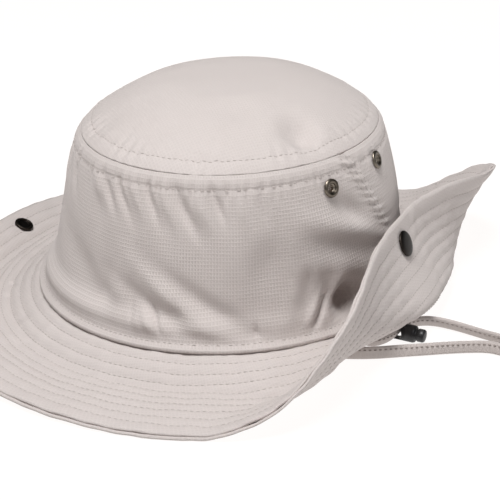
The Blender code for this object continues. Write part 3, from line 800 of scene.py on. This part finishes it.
def cloth_material(name, colour, shade, grid=0.0017, turn=0.0, grid_depth=0.5):
    """Fine ripstop cloth: plain weave, a raised square grid, faint slubs and colour drift."""
    made, tree, shader, coords = new_material(name)
    mapping = tree.nodes.new("ShaderNodeMapping")
    mapping.inputs["Rotation"].default_value = (0, 0, math.radians(turn))
    tree.links.new(coords.outputs["UV"], mapping.inputs["Vector"])
    split = tree.nodes.new("ShaderNodeSeparateXYZ")
    tree.links.new(mapping.outputs["Vector"], split.inputs["Vector"])
    cells, threads = [], []
    for axis in ("X", "Y"):
        along = split.outputs[axis]
        wave = maths(tree, "SINE", maths(tree, "MULTIPLY", along, 2 * math.pi / grid))
        cells.append(maths(tree, "POWER", maths(tree, "MULTIPLY_ADD", wave, 0.5, 0.5), 3.0))
        thread_wave = maths(tree, "MULTIPLY", along, THREADS_PER_CELL * 2 * math.pi / grid)
        threads.append(maths(tree, "SINE", thread_wave))
    lines = maths(tree, "MAXIMUM", *cells)
    weave = maths(tree, "MULTIPLY", *threads)
    slub = noise(tree, mapping.outputs["Vector"], 900.0, 2.0)
    drift = noise(tree, coords.outputs["Object"], 22.0, 3.0)
    height = maths(tree, "ADD", maths(tree, "MULTIPLY", lines, grid_depth),
                   maths(tree, "ADD", maths(tree, "MULTIPLY", weave, 0.16),
                         maths(tree, "MULTIPLY", slub, 0.35)))
    add_bump(tree, shader, height, 0.70, 0.00030)
    bright = tuple(min(1, c * 1.15) for c in colour)
    tint = mix(tree, maths(tree, "MULTIPLY", drift, 0.55), colour, shade)
    tint = mix(tree, maths(tree, "MULTIPLY", lines, 0.30), tint, bright)
    tint = mix(tree, maths(tree, "MULTIPLY", slub, 0.22), tint, shade)
    tree.links.new(tint, shader.inputs["Base Color"])
    tree.links.new(maths(tree, "MULTIPLY_ADD", slub, 0.12, 0.74), shader.inputs["Roughness"])
    shader.inputs["Specular IOR Level"].default_value = 0.25
    shader.inputs["Sheen Weight"].default_value = 0.18
    shader.inputs["Sheen Roughness"].default_value = 0.5
    shader.inputs["Sheen Tint"].default_value = (1.0, 0.97, 0.95, 1.0)
    return made


def grained_material(name, colour, other, scale, roughness, bump, depth):
    """Thread or plastic: a fine grain between a colour and the same one times other."""
    made, tree, shader, coords = new_material(name)
    grain = noise(tree, coords.outputs["Object"], scale, 2.0)
    tint = mix(tree, grain, colour, tuple(c * other for c in colour))
    tree.links.new(tint, shader.inputs["Base Color"])
    shader.inputs["Roughness"].default_value = roughness
    add_bump(tree, shader, grain, bump, depth)
    return made


def thread_material(name, colour):
    return grained_material(name, colour, 0.7, 1500.0, 0.6, 0.4, 0.0001)


def metal_material(name, colour, worn, roughness, wear):
    """Oxidised metal, brighter where its edges have been rubbed."""
    made, tree, shader, coords = new_material(name)
    patch = noise(tree, coords.outputs["Object"], 420.0, 4.0)
    geometry = tree.nodes.new("ShaderNodeNewGeometry")
    sharp = maths(tree, "SUBTRACT", geometry.outputs["Pointiness"], 0.5)
    edge = maths(tree, "MULTIPLY", sharp, 6.0)
    amount = tree.nodes.new("ShaderNodeClamp")
    tree.links.new(maths(tree, "ADD", edge, maths(tree, "MULTIPLY", patch, wear)),
                   amount.inputs["Value"])
    tree.links.new(mix(tree, amount.outputs[0], colour, worn), shader.inputs["Base Color"])
    tree.links.new(maths(tree, "MULTIPLY_ADD", patch, 0.18, roughness), shader.inputs["Roughness"])
    shader.inputs["Metallic"].default_value = 1.0
    return made


wall_cloth = cloth_material("Crown cloth", CLOTH_COLOUR, CLOTH_SHADE)
tip_cloth = cloth_material("Tip cloth", CLOTH_COLOUR, CLOTH_SHADE, 0.0014, 40, 0.3)
brim_cloth = cloth_material("Brim cloth", CLOTH_COLOUR, CLOTH_SHADE, 0.0015, 12, 0.25)
under_cloth = cloth_material("Underbrim cloth", CLOTH_COLOUR, CLOTH_SHADE, 0.0015, 30, 0.25)
strap_cloth = cloth_material("Strap cloth", STRAP_COLOUR, CLOTH_SHADE, 0.0012, 0.0, 0.3)
thread = thread_material("Thread", (0.52, 0.465, 0.44))
strap_thread = thread_material("Strap thread", (0.26, 0.22, 0.20))
eyelet_metal = metal_material("Eyelet metal", (0.034, 0.026, 0.020), (0.46, 0.40, 0.33), 0.22, 0.30)
snap_metal = metal_material("Snap metal", (0.011, 0.009, 0.008), (0.055, 0.045, 0.038), 0.34, 0.5)
mesh_metal = metal_material("Vent wire", (0.030, 0.020, 0.014), (0.16, 0.12, 0.09), 0.4, 0.4)
lock_plastic = grained_material("Lock plastic", (0.010, 0.010, 0.011), 1.8, 1600.0, 0.42, 0.25,
                                0.00008)


def wall_row(shares, angles):
    """Points and normals along a line on the wall."""
    step = NORMAL_STEP
    around = wall_surface(angles + step, shares, False) - wall_surface(angles - step, shares, False)
    up = wall_surface(angles, shares + step, False) - wall_surface(angles, shares - step, False)
    return wall_surface(angles, shares), unit(np.cross(around, up))


def build_panels():
    rows = np.concatenate([
        np.linspace(-0.015, 0.06, 14, endpoint=False),
        np.linspace(0.06, 0.86, 72),
        np.linspace(0.866, 1 - SEAM_GAP / 4 / CROWN_HEIGHT, 26),
    ])
    slack = GAP / 20 / BASE_HALF_WIDTH
    right, left = side_seam("right", rows), side_seam("left", rows)
    share = np.linspace(0, 1, WALL_COLUMNS)[:, None]
    for name, turn, start, end in (("crown_front_panel", -1, left - 2 * math.pi, right),
                                   ("crown_back_panel", 1, right, left)):
        angles = start + slack + (end - start - 2 * slack) * share
        heights = np.broadcast_to(rows, angles.shape)
        coords = (angles * BASE_HALF_LENGTH, heights * CROWN_HEIGHT)
        grid = wall_surface(angles, heights)
        panel = cloth_mesh(name + "_cloth", grid, coords, False, CROWN_CLOTH)
        outward(panel, (CENTRE_X, CENTRE_Y, 0.05))
        stand_for(panel, name, wall_cloth)
        for side in ("right", "left"):
            spot, out = eyelet_place(side, turn)
            punch(panel, spot, out, EYELET_HOLE + GAP)
    turn = np.linspace(0, 2 * math.pi, ROW_POINTS)
    runs = []
    for share in (1 - TIP_ROW_BELOW / CROWN_HEIGHT, HEM_ROW / CROWN_HEIGHT):
        runs.append(wall_row(np.full_like(turn, share), turn))
    up = np.linspace(0.04, 0.985, 60)
    for side in ("right", "left"):
        for row in BAND_ROWS:
            runs.append(wall_row(up, side_seam(side, up) + row / BASE_HALF_LENGTH))
    tiny_stitches("crown_stitches", runs, thread)


def outward(obj, centre):
    """Turns the open surface's faces away from a point, if they look at it."""
    count = len(obj.data.polygons)
    centres = np.empty(count * 3)
    normals = np.empty(count * 3)
    obj.data.polygons.foreach_get("center", centres)
    obj.data.polygons.foreach_get("normal", normals)
    away = (centres.reshape(-1, 3) - np.array(centre)) * normals.reshape(-1, 3)
    if away.sum() < 0:
        obj.data.flip_normals()


def punch(obj, spot, out, radius):
    """Hides the faces inside a hole, before the cloth is thickened."""
    mesh = bmesh.new()
    mesh.from_mesh(obj.data)
    spot, out = Vector([float(v) for v in spot]), Vector([float(v) for v in out])
    gone = []
    for face in mesh.faces:
        off = face.calc_center_median() - spot
        if off.length < 3 * radius and (off - out * off.dot(out)).length < radius:
            gone.append(face)
    bmesh.ops.delete(mesh, geom=gone, context="FACES")
    mesh.to_mesh(obj.data)
    mesh.free()


def eyelet_place(side, turn):
    """Middle of an eyelet on the plain wall, and the wall's direction out there."""
    share = np.array([1 + (turn * EYELET_STEP - EYELET_BELOW_TIP) / CROWN_HEIGHT])
    way = 1 if side == "right" else -1
    angle = side_seam(side, share) + turn * way * EYELET_SPREAD / BASE_HALF_LENGTH
    return wall_surface(angle, share, False)[0], wall_row(share, angle)[1][0]


def build_tip():
    rows = np.concatenate([
        np.linspace(1 - SEAM_GAP / 2 / (TIP_HALF_WIDTH + TIP_HALF_LENGTH), 0.86, 26),
        np.linspace(0.85, 0.02, 44),
    ])
    angles = (2 * math.pi * np.arange(TIP_COLUMNS) / TIP_COLUMNS)[:, None] + 0 * rows
    grid = tip_surface(angles, rows + 0 * angles)
    coords = (grid[:, :, 0], grid[:, :, 1], 0.0)
    middle = tip_surface(np.array([0.0]), np.array([0.0]))[0]
    tip = cloth_mesh("crown_tip_cloth", grid, coords, True, CROWN_CLOTH, middle)
    outward(tip, (CENTRE_X, CENTRE_Y, 0.0))
    stand_for(tip, "crown_tip", tip_cloth)
    turn = np.linspace(0, 2 * math.pi, ROW_POINTS)
    share = np.full_like(turn, 1 - 2 * TIP_ROW_ABOVE / (TIP_HALF_WIDTH + TIP_HALF_LENGTH))
    smooth = tip_surface(turn, share, False)
    around = tip_surface(turn + NORMAL_STEP, share, False) - smooth
    inward = tip_surface(turn, share - NORMAL_STEP, False) - smooth
    row = (tip_surface(turn, share), unit(np.cross(around, inward)))
    tiny_stitches("tip_stitches", [row], thread)


def build_brim():
    shares = np.linspace(0, 1, 66)
    middle = brim_surface(BRIM_COLUMNS, shares)
    normals = normals_of(middle)
    angle = 2 * math.pi * np.arange(BRIM_COLUMNS) / BRIM_COLUMNS
    inward = np.stack([-np.cos(angle), -np.sin(angle), 0 * angle], 1)
    whole_run = 2 * math.pi * BRIM_RUN_RADIUS
    run_around = angle[:, None] * BRIM_RUN_RADIUS + 0 * shares
    # The relief fades on both sides of the place where the run starts and ends
    fade = np.minimum(1, np.minimum(run_around, whole_run - run_around) / RELIEF_FADE)
    fade = np.maximum(0.5 - 0.5 * np.cos(fade * math.pi), RELIEF_LEAST)
    for name, side, seed, strength, tuck, material in (
            ("brim_upper", 1, 31, 1.0, SEAM_TUCK, brim_cloth),
            ("brim_lower", -1, 41, 0.8, (), under_cloth)):
        relief = brim_relief(run_around, shares, seed) * fade * strength
        face = middle.copy()
        if side < 0:
            face[:, -1] += unit(face[:, -1] - face[:, -2]) * RIM_LIP
        face += normals * (side * (GAP / 2 + BRIM_PLY + relief))[:, :, None]
        if side < 0:
            face[:, :, 2] = np.maximum(face[:, :, 2], FLOOR_GAP)
        under = [(face[:, 0] + inward * far + [0, 0, up])[:, None] for far, up in tuck]
        face = np.concatenate([*under, face], 1)
        extra = len(tuck)
        run_out = np.concatenate([[-far for far, up in tuck], shares * BRIM_WIDTH])
        coords = (run_around[:, :1] + 0 * run_out, 0 * run_around[:, :1] + run_out, whole_run)
        ply = cloth_mesh(name + "_cloth", face, coords, True, BRIM_PLY * 0.9)
        outward_by(ply, face[:, extra:], normals * side)
        stand_for(ply, name, material)
        runs = []
        for share in BRIM_ROW_SHARES:
            row = share * (len(shares) - 1)
            low = int(row)
            part = row - low
            line = face[:, low + extra] * (1 - part) + face[:, low + extra + 1] * part
            out = normals[:, low] * side
            runs.append((np.concatenate([line, line[:1]]), np.concatenate([out, out[:1]])))
        tiny_stitches(name + "_stitches", runs, thread)
    return middle, normals


def outward_by(obj, grid, normals):
    """Turns the faces so that they look along the given normals."""
    around = np.roll(grid, -1, 0) - grid
    across = np.gradient(grid, axis=1)
    wanted = (np.cross(across, around) * normals).sum()
    face = obj.data.polygons[0]
    spots = [np.array(obj.data.vertices[k].co) for k in face.vertices]
    made = np.dot(np.array(face.normal), np.cross(spots[1] - spots[0], spots[-1] - spots[0]))
    if (wanted < 0) == (made > 0):
        obj.data.flip_normals()


def build_eyelets():
    half = CROWN_CLOTH / 2 + EYELET_BED
    bore = EYELET_HOLE - EYELET_SHEET
    crest = (bore + EYELET_RADIUS) / 2
    reach = (EYELET_RADIUS - bore) / 2
    profile = [(bore, half + EYELET_SHEET)]
    for k in range(9):
        turn = 0.95 * math.pi * (1 - k / 8)
        profile.append((crest + reach * math.cos(turn),
                        half + EYELET_SHEET * (0.4 + 2.0 * math.sin(turn))))
    profile += [(EYELET_RADIUS, half), (EYELET_HOLE, half), (EYELET_HOLE, -half),
                (0.86 * EYELET_RADIUS, -half), (0.80 * EYELET_RADIUS, -half - EYELET_SHEET),
                (bore, -half - EYELET_SHEET)]
    for side in ("right", "left"):
        for name, turn in (("front", -1), ("back", 1)):
            spot, out = eyelet_place(side, turn)
            middle = spot - out * (CROWN_CLOTH / 2)
            ring = turned(f"eyelet_{side}_{name}_ring", profile)
            stand_at(ring, middle, out)
            stand_for(ring, f"eyelet_{side}_{name}", eyelet_metal)
            wires = vent_wires(f"vent_wires_{side}_{name}", bore * 1.02)
            stand_at(wires, middle, out)
            wires.data.materials.append(mesh_metal)
            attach(wires, "root")


def vent_wires(name, radius):
    """Woven wire across the eyelet's bore."""
    mesh = bmesh.new()
    for lying in (0, 1):
        for k in range(WIRES):
            off = radius * (2 * (k + 0.5) / WIRES - 1)
            half = math.sqrt(max(radius**2 - off**2, 0.0))
            made = bmesh.ops.create_cone(mesh, cap_ends=True, segments=6, radius1=WIRE_RADIUS,
                                         radius2=WIRE_RADIUS, depth=2 * half)
            turn = Matrix.Rotation(math.pi / 2, 4, "Y" if lying else "X")
            level = 0.8 * WIRE_RADIUS
            shift = Vector((0, off, level)) if lying else Vector((off, 0, -level))
            bmesh.ops.transform(mesh, matrix=Matrix.Translation(shift) @ turn,
                                verts=made["verts"])
    return from_bmesh(name, mesh)


def round_over(profile):
    """Softens the corners of a profile."""
    soft = [profile[0]]
    for one, two in zip(profile, profile[1:]):
        soft.append((one[0] * 0.8 + two[0] * 0.2, one[1] * 0.8 + two[1] * 0.2))
        soft.append((one[0] * 0.2 + two[0] * 0.8, one[1] * 0.2 + two[1] * 0.8))
    return [*soft, profile[-1]]


def build_snaps(middle, normals):
    face = BRIM_PLY + GAP / 2 + GAP
    bed = BRIM_PLY + GAP / 2 + SNAP_BED
    row = (1 - SNAP_FROM_RIM / (BRIM_WIDTH + CROWN_CLOTH)) * (middle.shape[1] - 1)
    low = int(row)
    socket = [
        (0.0, face + 0.3 * SNAP_SOCKET_HEIGHT),
        (SNAP_RECESS_RADIUS, face + 0.3 * SNAP_SOCKET_HEIGHT),
        (SNAP_RECESS_RADIUS * 1.02, face + 0.8 * SNAP_SOCKET_HEIGHT),
        (SNAP_RECESS_RADIUS * 1.12, face + SNAP_SOCKET_HEIGHT),
        (0.90 * SNAP_SOCKET_RADIUS, face + SNAP_SOCKET_HEIGHT),
        (SNAP_SOCKET_RADIUS, face + 0.7 * SNAP_SOCKET_HEIGHT),
        (SNAP_SOCKET_RADIUS, face),
        (SNAP_POST_RADIUS, face),
        (SNAP_POST_RADIUS, -bed),
        (0.96 * SNAP_CAP_RADIUS, -bed),
        (SNAP_CAP_RADIUS, -bed - 0.15 * SNAP_CAP_HEIGHT),
        (0.985 * SNAP_CAP_RADIUS, -bed - 0.45 * SNAP_CAP_HEIGHT),
        (0.90 * SNAP_CAP_RADIUS, -bed - 0.72 * SNAP_CAP_HEIGHT),
        (0.60 * SNAP_CAP_RADIUS, -bed - 0.93 * SNAP_CAP_HEIGHT),
        (0.0, -bed - SNAP_CAP_HEIGHT),
    ]
    reach = CROWN_CLOTH / 2 + STUD_BED
    flange = reach + SNAP_FLANGE
    stud = [
        (0.0, flange + 0.0013),
        (0.7 * SNAP_STUD_RADIUS, flange + 0.0013),
        (SNAP_STUD_RADIUS, flange + 0.0010),
        (SNAP_STUD_RADIUS, flange + 0.0006),
        (0.8 * SNAP_STUD_RADIUS, flange),
        (0.95 * STUD_FLANGE_RADIUS, flange),
        (STUD_FLANGE_RADIUS, reach),
        (SNAP_POST_RADIUS, reach),
        (SNAP_POST_RADIUS, -reach),
        (STUD_FLANGE_RADIUS, -reach),
        (0.95 * STUD_FLANGE_RADIUS, -flange),
        (0.0, -flange),
    ]
    seats = {}
    for side, column in (("right", 0), ("left", middle.shape[0] // 2)):
        seats[side] = ((middle[column, low] + middle[column, low + 1]) / 2, normals[column, low])
        cap = turned(f"brim_snap_{side}_cap", round_over(socket))
        stand_at(cap, *seats[side])
        stand_for(cap, f"brim_snap_{side}", snap_metal)
    joined, toward = seats["right"]
    stack = BRIM_PLY + GAP / 2 + SNAP_SOCKET_HEIGHT + SNAP_FLANGE + 2 * GAP + STUD_BED
    share = np.array([(joined[2] + toward[2] * stack - SEAM_HEIGHT) / CROWN_HEIGHT])
    for side, angle in (("right", 0.0), ("left", math.pi)):
        point = wall_surface(np.array([angle]), share, False)[0]
        out = wall_row(share, np.array([angle]))[1][0]
        button = turned(f"crown_stud_{side}_button", round_over(stud), 32)
        stand_at(button, point - out * (CROWN_CLOTH / 2), out)
        stand_for(button, f"crown_stud_{side}", snap_metal)


def strap_route(spacing):
    """Evenly spaced points on a smooth curve through the strap's route, and its length."""
    points = np.array(STRAP_ROUTE) + [CENTRE_X, CENTRE_Y, 0.0]
    padded = np.concatenate([[2 * points[0] - points[1]], points, [2 * points[-1] - points[-2]]])
    fine = []
    for a, b, c, d in zip(padded, padded[1:], padded[2:], padded[3:]):
        for t in np.linspace(0, 1, 12, endpoint=False):
            fine.append(0.5 * (2 * b + (c - a) * t + (2 * a - 5 * b + 4 * c - d) * t**2
                               + (3 * b - a - 3 * c + d) * t**3))
    fine = np.array(fine + [points[-1]])
    run = run_along(fine)
    places = np.linspace(0, run[-1], max(3, round(run[-1] / spacing)))
    return spots_at(places, run, fine), run[-1]


def build_strap(lock):
    """A flat folded strap that stands on its edge, with one row of stitches near its top."""
    route, length = strap_route(0.0016)
    for _ in range(6):
        route[1:-1] = (route[:-2] + 2 * route[1:-1] + route[2:]) / 4
    count = len(route)
    along = unit(np.gradient(route, axis=0))
    level = unit(np.cross(along, np.array([0, 0, 1.0])))
    lean = np.radians(STRAP_LEAN + STRAP_SWAY * np.sin(np.linspace(0, 9, count)))[:, None]
    up = np.cross(level, along)
    tall = up * np.cos(lean) + level * np.sin(lean)
    flat = level * np.cos(lean) - up * np.sin(lean)
    sections = []
    for k in range(STRAP_SIDES):
        turn = 2 * math.pi * k / STRAP_SIDES
        c, s = math.cos(turn), math.sin(turn)
        wide = math.copysign(abs(c) ** 0.55, c) * STRAP_HALF_WIDTH
        thick = math.copysign(abs(s) ** 0.8, s) * STRAP_HALF_THICK
        sections.append(route + tall * wide + flat * thick)
    grid = np.stack(sections, 1)
    low = grid[:, :, 2].min(axis=1)
    grid[:, :, 2] += np.maximum(0.0, STRAP_FLOOR - low)[:, None]
    run = np.linspace(0, length, count)
    faces, uv = [], []
    for i in range(count - 1):
        for k in range(STRAP_SIDES):
            corners = ((i, k), (i + 1, k), (i + 1, k + 1), (i, k + 1))
            faces.append([a * STRAP_SIDES + b % STRAP_SIDES for a, b in corners])
            uv += [(run[a], b * STRAP_SIDE) for a, b in corners]
    faces.append(list(range(STRAP_SIDES)))
    faces.append(list(range((count - 1) * STRAP_SIDES, count * STRAP_SIDES))[::-1])
    uv += [(0, 0)] * (2 * STRAP_SIDES)
    data = bpy.data.meshes.new("chin_strap_cloth")
    data.from_pydata(grid.reshape(-1, 3).tolist(), [], faces)
    layer = data.uv_layers.new(name="Cloth")
    layer.data.foreach_set("uv", np.array(uv, np.float32).ravel())
    data.shade_smooth()
    mesh = bmesh.new()
    mesh.from_mesh(data)
    bmesh.ops.recalc_face_normals(mesh, faces=mesh.faces)
    mesh.to_mesh(data)
    mesh.free()
    strap = linked("chin_strap_cloth", data)
    stand_for(strap, "chin_strap", strap_cloth)
    runs = []
    for side in (1, -1):
        face = grid.mean(axis=1) + flat * STRAP_HALF_THICK * 0.98 * side
        runs.append((face + tall * STRAP_HALF_WIDTH * 0.52, flat * side))
    tiny_stitches("strap_stitches", runs, strap_thread, 0.00030, 0.0024, 0.0016)


def build_lock():
    spot = (LOCK_SPOT[0] + CENTRE_X, LOCK_SPOT[1] + CENTRE_Y, LOCK_RADIUS)
    half = LOCK_LENGTH / 2
    knob = half + LOCK_KNOB_LENGTH
    profile = [
        (0.0, knob), (0.62 * LOCK_KNOB_RADIUS, knob - 0.0001),
        (0.9 * LOCK_KNOB_RADIUS, knob - 0.0004), (LOCK_KNOB_RADIUS, knob - 0.0010),
        (LOCK_KNOB_RADIUS, half + 0.0012), (0.88 * LOCK_KNOB_RADIUS, half + 0.0008),
        (0.88 * LOCK_KNOB_RADIUS, half), (0.80 * LOCK_RADIUS, half),
        (0.94 * LOCK_RADIUS, half - 0.0004), (LOCK_RADIUS, half - 0.0012),
        (LOCK_RADIUS, -half + 0.0020), (0.95 * LOCK_RADIUS, -half + 0.0010),
        (0.8 * LOCK_RADIUS, -half + 0.0002), (0.5 * LOCK_RADIUS, -half), (0.0, -half),
    ]
    lock = turned("cord_lock_body", profile)
    stand_at(lock, spot, (1, 0, 0))
    route, _ = strap_route(0.0008)
    near = int(np.argmin(np.linalg.norm(route - np.array(spot), axis=1)))
    mesh = bmesh.new()
    bmesh.ops.create_cone(mesh, cap_ends=True, segments=40, radius1=STRAP_RADIUS + 2 * GAP,
                          radius2=STRAP_RADIUS + 2 * GAP, depth=4 * LOCK_RADIUS)
    tool = from_bmesh("bore", mesh)
    stand_at(tool, route[near], route[near + 3] - route[near - 3])
    hole = lock.modifiers.new("Bore", "BOOLEAN")
    hole.operation = "DIFFERENCE"
    hole.object = tool
    bpy.context.view_layer.update()
    graph = bpy.context.evaluated_depsgraph_get()
    cut = bpy.data.meshes.new_from_object(lock.evaluated_get(graph))
    lock.modifiers.clear()
    lock.data = cut
    bpy.data.objects.remove(tool, do_unlink=True)
    stand_for(lock, "cord_lock", lock_plastic)
    return lock


build_panels()
build_tip()
middle, normals = build_brim()
build_eyelets()
build_snaps(middle, normals)
build_strap(build_lock())

# Ground and light
floor_mesh = bmesh.new()
bmesh.ops.create_grid(floor_mesh, x_segments=1, y_segments=1, size=60.0)
ground = from_bmesh("ground", floor_mesh)
ground.location.z = -0.0003
white = bpy.data.materials.new("White ground")
white.use_nodes = True
for socket, value in (("Base Color", (0.1, 0.1, 0.1, 1)), ("Roughness", 1.0),
                      ("Specular IOR Level", 0.0), ("Emission Color", (1.0, 0.975, 0.96, 1)),
                      ("Emission Strength", 0.96)):
    white.node_tree.nodes["Principled BSDF"].inputs[socket].default_value = value
ground.data.materials.append(white)

world = bpy.data.worlds.new("World")
bpy.context.scene.world = world
world.use_nodes = True
world.node_tree.nodes["Background"].inputs["Color"].default_value = (1, 1, 1, 1)
world.node_tree.nodes["Background"].inputs["Strength"].default_value = 0.08


def lamp(name, spot, size, power):
    """A round lamp that looks at the middle of the hat."""
    data = bpy.data.lights.new(name, "AREA")
    data.shape = "DISK"
    data.size = size
    data.energy = power
    toward = Vector(spot) - Vector((CENTRE_X, CENTRE_Y, 0.05))
    stand_at(linked(name, data), spot, toward)


lamp("Top", (0.03, -0.38, 1.32), 0.70, 20.6)
lamp("Side", (0.85, -0.30, 0.70), 0.7, 2.2)

turn, tilt = math.radians(CAMERA_TURN), math.radians(CAMERA_TILT)
back = Vector((math.sin(turn) * math.cos(tilt), -math.cos(turn) * math.cos(tilt), math.sin(tilt)))
right = Vector((math.cos(turn), math.sin(turn), 0))
lens = bpy.data.cameras.new("Camera")
lens.sensor_width = SENSOR_WIDTH
lens.lens = FOCAL / PICTURE * SENSOR_WIDTH
lens.shift_x = (PICTURE / 2 - MIDDLE[0]) / PICTURE
lens.shift_y = (MIDDLE[1] - PICTURE / 2) / PICTURE
camera = linked("Camera", lens)
axes = Matrix((right, back.cross(right), back)).transposed().to_4x4()
aim = Vector((CENTRE_X, CENTRE_Y, CAMERA_AIM_HEIGHT))
camera.matrix_world = Matrix.Translation(aim + back * CAMERA_FAR) @ axes
bpy.context.scene.camera = camera
bpy.context.scene.view_settings.view_transform = "Standard"
